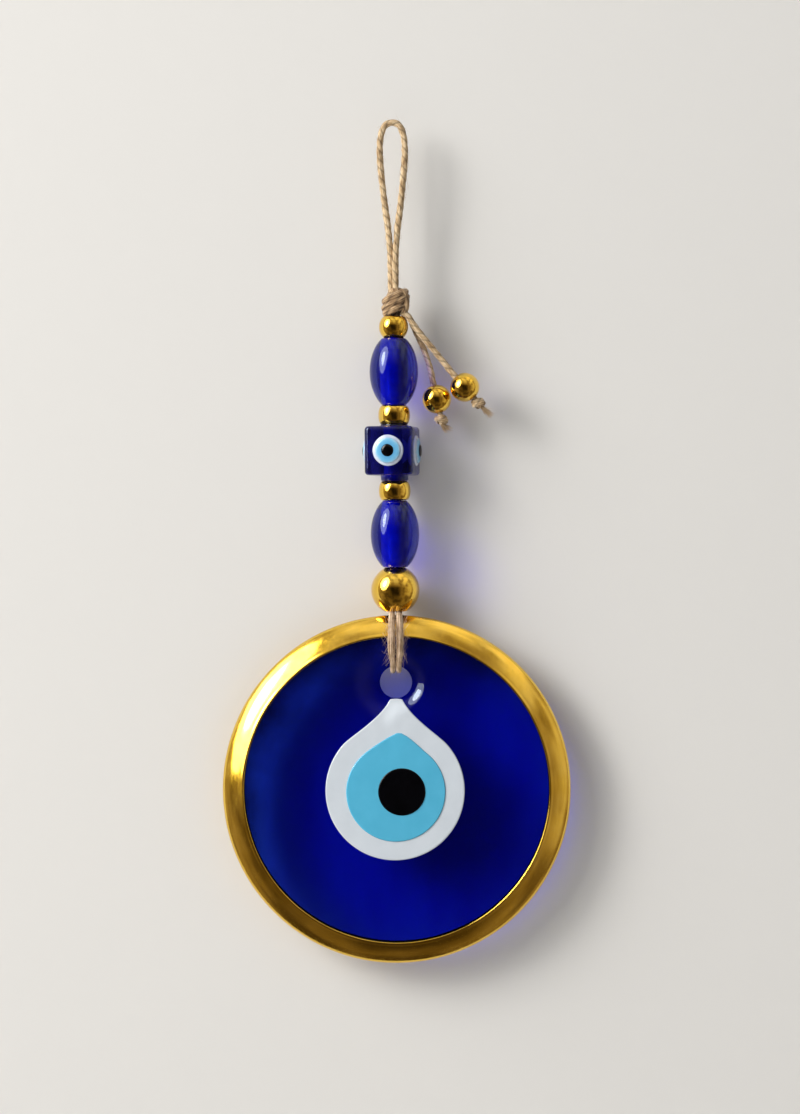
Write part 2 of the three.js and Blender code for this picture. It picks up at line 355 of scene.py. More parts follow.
# ---- materials ----
def jute(name, dark, middle, light, groove_shade=0.45):
    """Twisted jute. Its UV map counts turns of twist along the cord and goes once round it."""
    material, tree, shader = new_material(name, Roughness=0.88, Sheen_Weight=0.25)
    fibres = cloud(tree, 1.0, stretch=(1.6, 24, 1), detail=5, uv=True)
    patches = spread(tree, cloud(tree, 600, detail=2), 0.3, 0.7, -0.09, 0.09)
    mixed = maths(tree, "ADD", fibres, patches)
    colour = ramp(tree, mixed, [(0.36, dark), (0.5, middle), (0.64, light)])
    # Painted shade: the colour darkens along the grooves between the two plies, down to groove_shade of it
    # at their floor.
    across = node(tree, "SeparateXYZ", {"Vector": node(tree, "UVMap", uv_map="UVMap").outputs["UV"]})
    turned_to = maths(tree, "ADD", across.outputs["X"], across.outputs["Y"])
    groove = maths(tree, "PINGPONG", turned_to, 0.25)
    depth = spread(tree, groove, 0.0, 0.10, groove_shade, 1.0)
    shaded = node(tree, "VectorMath", {0: colour, "Scale": depth}, operation="SCALE")
    put(tree, shader.inputs["Base Color"], shaded.outputs["Vector"])
    put(tree, shader.inputs["Normal"], bumped(tree, fibres, 0.6, 0.0001))
    return material


def gold(name, rough):
    """Polished gold plate with faint handling wear under a thin lacquer."""
    material, tree, shader = new_material(name, Metallic=1.0, Coat_Weight=0.6, Coat_Roughness=0.06)
    tone = ramp(tree, cloud(tree, 180), [(0.35, (0.87, 0.54, 0.045)), (0.65, (0.93, 0.60, 0.075))])
    wear = cloud(tree, 900, stretch=(1, 1, 0.35), detail=6)
    put(tree, shader.inputs["Base Color"], tone)
    put(tree, shader.inputs["Roughness"], spread(tree, wear, 0.35, 0.7, rough * 0.7, rough * 1.5))
    put(tree, shader.inputs["Normal"], bumped(tree, wear, 0.12, 0.00002))
    return material


CLEAR = {
    "IOR": 1.52,
    "Transmission_Weight": 1.0,
    "Specular_IOR_Level": 0.28,
    "Specular_Tint": (0.75, 0.86, 1.0, 1.0),
}


def shaded_light(tree, shader, shade):
    """Light passes the glass and takes its colour on the way to what stands behind."""
    passed = node(tree, "BsdfTransparent", {"Color": (*shade, 1)}).outputs["BSDF"]
    shadow = node(tree, "LightPath").outputs["Is Shadow Ray"]
    mixed = mix(tree, shadow, shader.outputs["BSDF"], passed)
    put(tree, tree.nodes["Material Output"].inputs["Surface"], mixed)


def clear_glass(name, deep, pale, scale, stretch, shade, rough=0.03):
    """Coloured glass with streaks from deep to pale. Light passes it to shade what is behind."""
    material, tree, shader = new_material(name, Roughness=rough, **CLEAR)
    streaks = cloud(tree, scale, stretch=stretch, detail=4)
    put(tree, shader.inputs["Base Color"], ramp(tree, streaks, [(0.35, deep), (0.68, pale)]))
    shaded_light(tree, shader, shade)
    return material


def disc_glass(name, deep, pale, shade):
    """The disc's glass: clear cobalt with wisps in it, and a painted shadow that darkens it towards the
    rim at the upper left, where the rim's shadow falls behind the glass.
    """
    material, tree, shader = new_material(name, Roughness=0.03, **CLEAR)
    wisps = cloud(tree, 22, stretch=(1.6, 1, 0.7), detail=4)
    streaks = ramp(tree, wisps, [(0.35, deep), (0.68, pale)])
    # Painted shadow: the colour darkens with distance from a point right of and below the centre, so the
    # glass goes dark along the rim at the upper left.
    spot = node(tree, "TexCoord").outputs["Object"]
    away = node(tree, "VectorMath", {0: spot, 1: (0.006, 0.0, (DISC_Z - 7.0) * MM)}, operation="DISTANCE")
    uneven = spread(tree, cloud(tree, 60, detail=3), 0.3, 0.7, -0.003, 0.003)
    reach = maths(tree, "ADD", away.outputs["Value"], uneven)
    rim_shadow_paint = spread(tree, reach, 0.043, 0.053, 1.0, 0.10)
    rim_shadowed_colour = node(tree, "VectorMath", {0: streaks, "Scale": rim_shadow_paint}, operation="SCALE")
    put(tree, shader.inputs["Base Color"], rim_shadowed_colour.outputs["Vector"])
    shaded_light(tree, shader, shade)
    return material


def solid_glass(name, deep, pale, scale=260, shine=0.5):
    """Opaque coloured glass, slightly uneven in tone and polish."""
    material, tree, shader = new_material(name, IOR=1.5, Specular_IOR_Level=shine)
    mottle = cloud(tree, scale, detail=4)
    put(tree, shader.inputs["Base Color"], ramp(tree, mottle, [(0.3, deep), (0.7, pale)]))
    put(tree, shader.inputs["Roughness"], spread(tree, mottle, 0.3, 0.7, 0.06, 0.12))
    return material


def melted_glass(name, inner, outer, edge):
    """The cube eyes' light blue, which melts into the white round its edge."""
    material, tree, shader = new_material(name, Roughness=0.08, IOR=1.5)
    across = node(tree, "SeparateXYZ", {"Vector": node(tree, "UVMap", uv_map="UVMap").outputs["UV"]})
    mottle = cloud(tree, 600, detail=3)
    uneven = spread(tree, mottle, 0.3, 0.7, -0.07, 0.07)
    out = maths(tree, "ADD", across.outputs["X"], uneven)
    stops = [(0.0, inner[1]), (0.45, inner[0]), (0.80, inner[1]), (0.97, edge), (1.0, outer)]
    put(tree, shader.inputs["Base Color"], ramp(tree, out, stops))
    return material


DISC_Z = place("glass_disc")[0][2]
MATERIALS = {
    "jute": jute("jute_twine", (0.30, 0.18, 0.08), (0.56, 0.39, 0.21), (0.78, 0.61, 0.39)),
    "jute_knot": jute("jute_knot", (0.13, 0.07, 0.03), (0.33, 0.20, 0.095), (0.58, 0.40, 0.22)),
    "jute_loose": jute(
        "jute_loose", (0.24, 0.14, 0.07), (0.54, 0.37, 0.23), (0.80, 0.62, 0.44), groove_shade=0.8
    ),
    # A shaded copy of the jute, painted dark for the strands that run in the shade inside the beads'
    # bores.
    "jute_shaded_core": jute("jute_shaded_core", (0.06, 0.035, 0.015), (0.12, 0.07, 0.03), (0.2, 0.13, 0.06)),
    "gold_bead": gold("gold_bead", 0.10),
    "gold_rim": gold("gold_rim", 0.13),
    "disc": disc_glass("disc_cobalt", (0.005, 0.011, 0.43), (0.010, 0.045, 0.62), (0.26, 0.30, 0.80)),
    "barrel": clear_glass(
        "barrel_cobalt",
        deep=(0.0003, 0.002, 0.24),
        pale=(0.0006, 0.006, 0.40),
        scale=240,
        stretch=(1, 1, 0.3),
        shade=(0.42, 0.38, 0.95),
    ),
    "cube": clear_glass(
        "cube_navy",
        deep=(0.006, 0.006, 0.15),
        pale=(0.016, 0.016, 0.23),
        scale=200,
        stretch=(1, 1, 1),
        shade=(0.06, 0.08, 0.42),
        rough=0.14,
    ),
    "bore": solid_glass("bead_bore", (0.05, 0.08, 0.46), (0.09, 0.13, 0.56), 500),
    "white": solid_glass("drop_white", (0.61, 0.66, 0.715), (0.63, 0.68, 0.735)),
    "sky": solid_glass("drop_sky", (0.086, 0.43, 0.64), (0.096, 0.455, 0.67)),
    "black": solid_glass("pupil_black", (0.001, 0.001, 0.0015), (0.002, 0.002, 0.003), shine=0.3),
    "cube_white": solid_glass("cube_eye_white", (0.50, 0.56, 0.70), (0.64, 0.69, 0.80), 700),
    "cube_sky": melted_glass(
        "cube_eye_sky", [(0.10, 0.36, 0.64), (0.17, 0.47, 0.72)], (0.56, 0.63, 0.75), (0.38, 0.60, 0.76)
    ),
}


# ---- the camera ----
def make_camera():
    """The camera, a metre in front of the string's middle and rolled a little."""
    data = bpy.data.cameras.new("camera")
    data.lens = 112.4
    data.sensor_width = 36.0
    camera = new_object("camera", data)
    camera.location = (0.0014, -1.0, -0.124)
    camera.rotation_euler = (math.pi / 2, math.radians(0.4), 0)
    bpy.context.scene.camera = camera


make_camera()


# ---- jute ----
def cord_rings(line, across, diameter, pitch, travel, sides, seed, groove):
    """Rings of a tight two-ply cord: a round skin with two shallow left-handed grooves."""
    first, second = across
    rng = np.random.default_rng(seed)
    theta = np.linspace(0, math.tau, sides, endpoint=False)[None, :] - math.pi / 2
    far = travel[:, None]
    twist = theta + math.tau * far / pitch
    crown = np.abs(np.cos(twist)) ** 0.7
    radius = diameter * (0.53 - groove * (1 - crown))
    radius = radius * (1 + 0.035 * np.sin(far / 2.3 + rng.uniform(0, 6)))
    radius = radius * (1 + 0.022 * np.sin(7 * theta + far * 1.3 + rng.uniform(0, 6)))
    radius = radius * (1 + 0.016 * np.sin(11 * theta - far * 0.9 + rng.uniform(0, 6)))
    cos, sin = (radius * np.cos(theta))[..., None], (radius * np.sin(theta))[..., None]
    return line[:, None] + cos * first[:, None] + sin * second[:, None]


def add_cord(shape, line, diameter, seed, sides=26, pitch=PITCH, groove=0.075, part=slice(None)):
    """A twisted cord along part of a line, so that two parts of one line meet exactly."""
    steps = np.linalg.norm(np.diff(line, axis=0), axis=1)
    travel = np.concatenate([[0], np.cumsum(steps)])
    rings = cord_rings(line, frames(line), diameter, pitch, travel + seed, sides, seed, groove)
    turns = (travel[part] + seed) / pitch
    shape.tube(rings[part], uv=(float(turns[-1] - turns[0]), 1.0), corner=(float(turns[0]), 0.0))


def add_hair(shape, points, thick, tone):
    """One loose fibre, three-sided and thinner towards its tip."""
    line = np.array(points)
    first, second = frames(line)
    widths = thick * np.linspace(1.0, 0.35, len(line))[:, None, None]
    theta = np.arange(3)[None, :, None] * math.tau / 3
    rings = line[:, None] + widths * (np.cos(theta) * first[:, None] + np.sin(theta) * second[:, None])
    shape.tube(rings, uv=(0.02, 0.02), corner=(tone, 0.0))


def add_fuzz(shape, line, diameter, count, rng, reach=1.3, longest=4.5, thick=0.034, flat=False):
    """Loose fibres that leave the cord at a shallow angle and curl. Flat ones stay in front of it."""
    first, second = frames(line)
    ahead = unit(np.gradient(line, axis=0))
    for _ in range(count):
        i = rng.randrange(len(line))
        angle = rng.uniform(0, math.tau)
        out = first[i] * math.cos(angle) + second[i] * math.sin(angle)
        along = ahead[i] * rng.choice((-1, 1))
        length = rng.uniform(0.3, 1.0) * longest
        lift = rng.uniform(0.25, 1.0) * reach
        curl = np.cross(ahead[i], out) * rng.uniform(-0.5, 0.5) * lift
        root = line[i] + out * diameter * 0.42
        t = np.linspace(0, 1, 6)[:, None]
        points = root + along * length * t + out * lift * t * (1.5 - 0.5 * t) + curl * t * t
        if flat:
            points[:, 1] = np.minimum(points[:, 1], line[i][1] + 0.4 * diameter)
        add_hair(shape, points, thick * rng.uniform(0.6, 1.1), 0.25 + 0.5 * rng.randrange(60))


LOOP_SIDE = [(1.9, 0.2), (3.15, -2.4), (3.6, -6.5), (3.45, -11.0), (2.9, -17.0)]
LOOP_SIDE += [(2.1, -24.0), (1.35, -29.5), (STRAND, NECK_TOP)]


def make_loop():
    """The loop and both legs of the neck, from inside the knot over the nail and back."""
    foot = KNOT_TOP - 3.4
    neck = [(0.74, 0.52, -37.0), (0.66, 0.62, -42.0), (0.7, 0.5, foot)]
    side = [(x, 0.0, z) for x, z in LOOP_SIDE] + neck
    left = [(-x, y, z) for x, y, z in reversed(side)]
    right = [(x, -y, z) for x, y, z in side]
    line = route([*left, (0, 0, CORD / 2), *right], 0.25)
    split = int(np.argmax(line[:, 2] > -40.0))  # the ring where the upper piece meets the lower two
    rng = random.Random(11)
    upper = Shape()
    add_cord(upper, line, CORD, 1, part=slice(split, len(line) - split))
    add_fuzz(upper, line[line[:, 2] > -36.0], CORD, 150, rng)
    piece = upper.build("hanging_loop_cord", "jute")
    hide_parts("hanging_loop")
    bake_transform(piece)
    lower = Shape()
    add_cord(lower, line, CORD, 1, part=slice(0, split + 1))
    add_cord(lower, line, CORD, 1, part=slice(len(line) - split - 1, None))
    add_fuzz(lower, line[(line[:, 2] < -40.0) & (line[:, 2] > -46.0)], CORD, 30, rng, longest=3)
    piece = lower.build("neck_cords", "jute")
    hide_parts("neck_cord_left", "neck_cord_right")
    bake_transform(piece)


def make_knot():
    """The main knot: a plump cord wound round in slanting turns that rise to the right."""
    centre = np.array((0.6, 0.0, (KNOT_TOP + KNOT_BOTTOM) / 2 - 0.05))
    plump = 2.2
    shape = Shape()
    core = revolve(arc((0, 0), (2.8, 4.3), -88, 88, 24), 32)
    shape.tube(core + centre, uv=(2.0, 1.0))
    t = np.linspace(0, 1, 320)
    angle = math.radians(150) + math.tau * 2.9 * t
    swell = 0.84 + 0.16 * np.sin(np.pi * t) ** 0.7
    x = 3.0 * swell * np.cos(angle)
    y = 2.8 * swell * np.sin(angle)
    z = -2.75 + 5.2 * t + 0.40 * x * (0.6 + 0.4 * np.sin(np.pi * t))
    wrap = even(np.stack([x, y, z], axis=1) + centre, 0.22)
    add_cord(shape, wrap, plump, 3, pitch=7.0)
    over = route(
        [(0.6, -2.0, 2.9), (2.2, -1.9, 2.4), (3.0, -1.8, 0.6), (3.0, -1.8, -1.4), (2.5, -1.3, -3.2)], 0.22
    )
    add_cord(shape, over + centre, plump * 0.9, 4, pitch=7.0)
    rng = random.Random(5)
    add_fuzz(shape, wrap, plump, 70, rng, reach=0.8, longest=2.4)
    settle(shape.build("main_knot_wraps", "jute_knot"), "strand", "jute", "main_knot")


def make_strands():
    """The four strands through the beads."""
    centre, half = place("core_strand_front_left")
    top, bottom = KNOT_BOTTOM + 4.0, centre[2] - half[2]
    for row, y in (("front", -STRAND), ("back", STRAND)):
        for side, x in (("left", -STRAND), ("right", STRAND)):
            shape = Shape()
            line = even(np.array([(x, y, top), (x, y, bottom)]), 0.5)
            add_cord(shape, line, CORD, 2, sides=14)
            # The strands take the painted-dark, shaded copy of the jute.
            piece = shape.build(f"strand_cord_{row}_{side}", "jute_shaded_core")
            settle(piece, "strand", "jute", f"core_strand_{row}_{side}")


RIM_TOP = place("gold_rim")[0][2] + place("gold_rim")[1][2]
HOLE_TOP = DISC_Z + HOLE_UP + HOLE
LOWER_HALF = [
    (-1.05, -136.0),
    (-1.05, -138.8),
    (-1.1, RIM_TOP + 1.4),
    (-1.6, RIM_TOP + 0.6),
    (-2.95, RIM_TOP + 0.12),
    (-4.35, RIM_TOP - 1.45),
    (-5.05, RIM_TOP - 3.7),
    (-4.95, RIM_TOP - 7.5),
    (-4.45, RIM_TOP - 11.0),
    (-4.15, HOLE_TOP + 1.6),
    (-3.95, HOLE_TOP + 0.1),
    (-2.9, HOLE_TOP - 1.0),
    (-1.5, HOLE_TOP - 1.3),
]


def make_lower_cords():
    """The two cords that come out of the large bead and go through the disc's hole."""
    for side, x, seed in (("left", -STRAND, 21), ("right", STRAND, 22)):
        front = [(x, y, z) for y, z in LOWER_HALF]
        back = [(x, -y, z) for y, z in reversed(LOWER_HALF)]
        line = route([*front, (x, 0, HOLE_TOP - 1.33), *back], 0.25)
        # In front, below the rim, the cords plump up and part. At the hole they are pinched together.
        shown = (line[:, 1] < 0) & (line[:, 2] < RIM_TOP)
        depth = -line[:, 2]
        swell = smoothstep(depth, 140, 143) * (1 - smoothstep(depth, 150.5, 153.5))
        pinch = smoothstep(depth, -HOLE_TOP - 3.0, -HOLE_TOP - 0.6)
        line[:, 0] += math.copysign(0.14, x) * swell * shown - math.copysign(0.20, x) * pinch
        shape = Shape()
        width = CORD * (0.93 + 0.19 * swell * shown - 0.09 * pinch)[:, None]
        add_cord(shape, line, width, seed, pitch=17.0, groove=0.05)
        rng = random.Random(seed)
        hung = line[shown & (line[:, 1] < -3.8)]
        add_fuzz(shape, hung, CORD, 120, rng, reach=2.6, longest=4.2, thick=0.055, flat=True)
        add_fuzz(shape, hung[:45], CORD, 4, rng, reach=3.2, longest=11.0, thick=0.05, flat=True)
        piece = shape.build(f"disc_cord_{side}", "jute_loose")
        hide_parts(f"lower_cord_{side}")
        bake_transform(piece)


TAILS = {
    "outer": {
        "exit": (3.77, -1.5, -54.6),
        "path": [(7.0, -1.5, -59.1), (12.5, -1.5, -65.9), (17.2, -1.5, -71.8)],
        "ball": (20.35, -1.5, -75.4),
        "lean": OUTER_LEAN,
        "clear": 1.5,
        "fray": 5.0,
        "fray_bend": 0.3,
        "bends_until": (6.3, -1.5, -58.0),
    },
    "inner": {
        "exit": (4.2, 1.5, -54.6),
        "path": [(6.0, 1.5, -58.2), (8.4, 1.5, -63.6), (10.3, 1.5, -69.2), (11.26, 1.5, -73.7)],
        "ball": (12.3, 1.5, -78.6),
        "lean": INNER_LEAN,
        "clear": 8.7,
        "fray": 3.6,
        "fray_bend": 1.3,
        "bends_until": (5.9, 1.5, -58.0),
    },
}
TAIL_KNOT_GAP = 0.6
TAIL_KNOT_LENGTH = 2.6
TAIL_FUZZ_TOP = -60.5  # loose fibres start at the foot of the top bead, which the tails swing past


def frayed_end(shape, foot, ways, bend, longest, rng):
    """The brush of loose fibres below a tail's knot, leaning a little to one side."""
    down, side, out = ways
    for _ in range(80):
        angle = rng.uniform(0, math.tau)
        way = side * math.cos(angle) + out * math.sin(angle)
        lean = rng.uniform(0, 1) ** 0.7
        length = rng.uniform(0.45, 1.0) * longest
        root = foot + way * 0.6 * lean - down * 0.6
        curl = way * rng.uniform(0.2, 1.6) * lean + side * bend
        points = [root + down * length * t + curl * t * t for t in np.linspace(0, 1, 5)]
        add_hair(shape, points, rng.uniform(0.05, 0.10), 0.25 + 0.5 * rng.randrange(60))


def make_tail(which, seed):
    """One tail: its cord, its gold ball and its end knot."""
    tail = TAILS[which]
    lean = math.radians(tail["lean"])
    down = np.array([math.sin(lean), 0.0, -math.cos(lean)])
    ball = np.array(tail["ball"])
    knot_top = ball + down * (BALL_REACH + TAIL_KNOT_GAP)
    knot_foot = knot_top + down * TAIL_KNOT_LENGTH
    rng = random.Random(seed)

    inside = np.array(tail["exit"]) + np.array((-1.6, 0.0, 0.9))
    line = route([inside, tail["exit"], *tail["path"], ball, knot_top, knot_foot], 0.25)
    shape = Shape()
    add_cord(shape, line, TAIL, seed, pitch=5.2)
    fuzz_foot = ball[2] + BALL_REACH + tail["clear"]
    open_part = line[(line[:, 2] < TAIL_FUZZ_TOP) & (line[:, 2] > fuzz_foot)]
    add_fuzz(shape, open_part, TAIL, 50, rng, reach=0.9, longest=3.2)
    cord = shape.build(f"{which}_tail_cord", "jute")
    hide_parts(f"tail_cord_{which}")
    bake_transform(cord)

    knot = Shape()
    t = np.linspace(0, 1, 90)
    angle = math.tau * 1.9 * t + seed
    radius = 0.78 + 0.42 * np.sin(np.pi * t)
    side = np.array([-down[2], 0.0, down[0]])
    out = np.array([0.0, 1.0, 0.0])
    wrap = (
        knot_top
        + np.outer(0.35 + (TAIL_KNOT_LENGTH - 0.9) * t, down)
        + np.outer(radius * np.cos(angle), side)
        + np.outer(radius * np.sin(angle), out)
        + np.outer(0.35 * np.cos(angle), down)
    )
    add_cord(knot, even(wrap, 0.2), TAIL * 0.92, seed + 3, pitch=4.0)
    frayed_end(knot, knot_foot, (down, side, out), tail["fray_bend"], tail["fray"], rng)
    end_knot = knot.build(f"{which}_tail_knot", "jute")
    settle(end_knot, f"tail_{which}", "jute", f"tail_end_knot_{which}")

    gold_ball = turned(
        f"{which}_tail_ball",
        ball_profile(BALL_REACH, 3.92, -3.92, 1.35),
        ball,
        ["gold_bead"],
        turn=turn_about("y", -tail["lean"]),
        dents=0.004,
    )
    settle(gold_ball, f"ball_{which}", "gold", f"tail_ball_{which}")


# ---- beads ----
BEADS = [
    "gold_bead_top",
    "barrel_bead_upper",
    "gold_spacer_upper",
    "cube_bead",
    "gold_spacer_lower",
    "barrel_bead_lower",
    "gold_bead_large",
]


def drawn_out(name):
    """Heights of a bead's ends, drawn out until it all but touches the beads above and below."""
    centre, half = place(name)
    top, bottom = centre[2] + half[2], centre[2] - half[2]
    index = BEADS.index(name)
    if index > 0:
        above, reach = place(BEADS[index - 1])
        top += (above[2] - reach[2] - top) / 2 - BEAD_GAP
    if index < len(BEADS) - 1:
        below, reach = place(BEADS[index + 1])
        bottom -= (bottom - below[2] - reach[2]) / 2 - BEAD_GAP
    return top, bottom


def ball_profile(radius, top, bottom, bore):
    """A ball cut flat at heights top and bottom, with a rolled lip into its bore at each."""
    angles = (math.degrees(math.asin(bottom / radius)), math.degrees(math.asin(top / radius)))
    skin = arc((0, 0), (radius, radius), *angles, 60)
    ends = []
    for (mouth, height), way in ((skin[0], -1), (skin[-1], 1)):
        lip = mouth - bore
        ends.append(
            [
                (bore + lip * 0.55, height + way * 0.02),
                (bore + lip * 0.15, height - way * lip * 0.35),
                (bore, height - way * lip),
            ]
        )
    return [*reversed(ends[0]), *skin, *ends[1]]


def barrel_profile(radius, end, half):
    """A long bead, an ellipse cut at both ends, with softened rims."""
    reach = half / math.sqrt(1 - (end / radius) ** 2)
    soft = 0.3
    heights = -(half - soft) * np.cos(np.linspace(0, math.pi, 64))
    skin = [(radius * math.sqrt(1 - (h / reach) ** 2), float(h)) for h in heights]
    upper = [
        (skin[-1][0] - 0.20, half - soft * 0.35),
        (skin[-1][0] - 0.45, half),
        (BORE + 0.30, half - 0.05),
        (BORE, half - 0.35),
    ]
    lower = [(r, -h) for r, h in reversed(upper)]
    return [*lower, *skin, *upper]


def spacer_profile(radius, half):
    """A flat round bead with a rounded side."""
    flat = 3.4
    side = arc((flat, 0), (radius - flat, half), -90, 90, 36)
    upper = [(BORE + 0.25, half - 0.03), (BORE, half - 0.3)]
    lower = [(r, -h) for r, h in reversed(upper)]
    return [*lower, *side, *upper]


def make_beads():
    """The gold balls, spacers and glass barrels on the cord."""
    for name, body in (("gold_bead_top", "bead_top"), ("gold_bead_large", "bead_large")):
        centre, half = place(name)
        top, bottom = drawn_out(name)
        profile = ball_profile(half[0], top - centre[2], bottom - centre[2], BORE)
        piece = turned(f"{body}_gold", profile, centre, ["gold_bead"], sides=128, dents=0.003)
        settle(piece, body, "gold", name)
    for which in ("upper", "lower"):
        reach = place(f"gold_spacer_{which}")[1][0]
        top, bottom = drawn_out(f"gold_spacer_{which}")
        centre = np.array((0.0, 0.0, (top + bottom) / 2))
        profile = spacer_profile(reach, (top - bottom) / 2)
        piece = turned(f"{which}_spacer_gold", profile, centre, ["gold_bead"], sides=128, dents=0.003)
        settle(piece, f"spacer_{which}", "gold", f"gold_spacer_{which}")
        reach = place(f"barrel_bead_{which}")[1][0]
        top, bottom = drawn_out(f"barrel_bead_{which}")
        centre = np.array((0.0, 0.0, (top + bottom) / 2))
        profile = barrel_profile(reach, BARREL_END, (top - bottom) / 2)
        looks = ["barrel", "bore"]
        piece = turned(
            f"{which}_barrel_glass", profile, centre, looks, sides=144, dents=0.004, bore_slot=1
        )
        settle(piece, f"barrel_{which}", "cobalt_glass", f"barrel_bead_{which}")


# ---- the cube bead ----
def square_outline(half, corner, count):
    """Points round a square with round corners, the same number on each side and corner."""
    inner = half - corner
    points = []
    for quarter in range(4):
        turn = quarter * 90
        middle = turn_about("z", turn) @ np.array([inner, inner, 0])
        points.extend(arc(middle[:2], (corner, corner), turn, turn + 90, count))
        start = turn_about("z", turn) @ np.array([inner, half, 0])
        end = turn_about("z", turn) @ np.array([-inner, half, 0])
        for share in np.linspace(0, 1, count + 2)[1:-1]:
            points.append(tuple((start + (end - start) * share)[:2]))
    return np.array(points)


def make_cube():
    """The navy cube: a rounded block with a collar of glass at each end of its bore."""
    centre, half = place("cube_bead")
    top, bottom = drawn_out("cube_bead")
    block_top = centre[2] + half[2] - COLLAR_ABOVE
    block_bottom = centre[2] - half[2] + COLLAR_BELOW
    side = square_outline(CUBE_SIDE / 2, CUBE_EDGE + 0.25, 12)
    ways = unit(side)
    shift = np.array((CUBE_SHIFT, 0.0))
    rows = []
    slots = []

    def ring(outline, height, slot=0):
        rows.append(np.column_stack([outline, np.full(len(outline), height)]))
        slots.append(slot)

    def face(height, lift, collar_height):
        """Rows from the block's edge in to the collar, or the other way round when reversed."""
        edge_ring = side - ways * CUBE_EDGE + shift
        made = []
        for share in (0.0, 0.3, 0.6, 0.85):
            made.append((edge_ring * (1 - share) + ways * (COLLAR + 0.5) * share, height))
        for turn in np.radians((0, 30, 60, 90)):
            radius = COLLAR + 0.5 * (1 - math.sin(turn))
            made.append((ways * radius, height + lift * 0.5 * (1 - math.cos(turn))))
        made.append((ways * COLLAR, collar_height - lift * 0.3))
        made.append((ways * (COLLAR - 0.3), collar_height))
        made.append((ways * (BORE + 0.3), collar_height))
        return made

    for outline, height in reversed(face(block_bottom, -1, bottom)):
        ring(outline, height)
    for turn in np.radians(np.linspace(15, 90, 6)):
        inset = CUBE_EDGE * (1 - math.sin(turn))
        ring(side - ways * inset + shift, block_bottom + CUBE_EDGE * (1 - math.cos(turn)))
    for share in np.linspace(0.1, 0.9, 9):
        ring(side + shift, block_bottom + CUBE_EDGE + (block_top - block_bottom - 2 * CUBE_EDGE) * share)
    for turn in np.radians(np.linspace(90, 15, 6)):
        inset = CUBE_EDGE * (1 - math.sin(turn))
        ring(side - ways * inset + shift, block_top - CUBE_EDGE * (1 - math.cos(turn)))
    for outline, height in face(block_top, 1, top):
        ring(outline, height)
    ring(ways * BORE, top - 0.3, slot=1)
    ring(ways * BORE, bottom + 0.3)
    rings = np.array(rows)
    rings = rings + 0.03 * waves(rings, 9.0, 8)[..., None] * unit(rings * (1, 1, 0) + 1e-9)
    rings[..., 2] -= centre[2]
    shape = Shape()
    on_cord = np.array((0.0, 0.0, centre[2]))
    shape.grid(rings @ turn_about("z", CUBE_TURN).T + on_cord, close_rows=True, slot_of=slots)
    piece = shape.build("cube_glass", "cube", "bore")
    settle(piece, "cube", "navy_glass", "cube_bead")


CUBE_EYE = {
    "white": {"radius": 4.48, "from": -0.25, "to": 0.68, "material": "cube_white", "slot": "white_glass"},
    "blue": {"radius": 3.7, "from": 0.35, "to": 1.16, "material": "cube_sky", "slot": "sky_glass"},
    "pupil": {"radius": 1.8, "from": 0.85, "to": 1.6, "material": "black", "slot": "black_glass"},
}


def dome_profile(radius, low, high):
    """A flat-backed dome, melted over at its edge."""
    skin = []
    for share in np.linspace(0, 1, 26):
        angle = math.radians(90 * share)
        skin.append((radius * math.cos(angle) ** 0.8, low + (high - low) * math.sin(angle) ** 0.62))
    return [(0, low), (radius * 0.5, low), *skin[:-1], (0, high)]


def make_cube_eyes():
    """An eye of three melted layers on each side of the cube."""
    block = turn_about("z", CUBE_TURN) @ np.array((CUBE_SHIFT, 0.0, 0.0))
    centre = block + (0, 0, place("cube_eye_front_white")[0][2])
    for index, side in enumerate(("front", "right", "back", "left")):
        turn = turn_about("z", CUBE_TURN + 90 * index) @ turn_about("x", 90)
        for layer, eye in CUBE_EYE.items():
            profile = dome_profile(eye["radius"], eye["from"], eye["to"])
            profile = np.array(profile) + (0, CUBE_SIDE / 2)
            rings = revolve(profile, 96)
            rings[..., :2] *= 1 + 0.022 * waves(unit(rings[..., :2] + 1e-9), 1.6, index)[..., None]
            shape = Shape()
            shape.grid(rings @ turn.T + centre)
            radial = np.array(shape.uvs)
            outline = profile[:, 0] / profile[:, 0].max()
            rows = np.rint(radial[:, 0] * (len(profile) - 1)).astype(int)
            shape.uvs = np.column_stack([outline[rows], radial[:, 1]])
            piece = shape.build(f"cube_{side}_{layer}_glass", eye["material"])
            settle(piece, "cube", eye["slot"], f"cube_eye_{side}_{layer}")


# ---- the disc ----
def glass_front(x, z):
    """Y of the disc's front face, from the disc's centre: rippled, and pressed in round the hole.

    The dimple slopes more gently on the left.
    """
    from_hole = np.hypot(x, z - HOLE_UP)
    reach = DIMPLE + DIMPLE_LEFT * smoothstep(-x, -1.0, 4.0)
    spots = np.stack([x, z * 0.6], axis=-1)
    ripple = 0.045 * waves(spots, 9.0, 31) + 0.02 * waves(spots, 4.0, 32)
    dimple = DIMPLE_DEPTH * (1 - smoothstep(from_hole, HOLE + 0.6, reach))
    return -GLASS_HALF + dimple + ripple


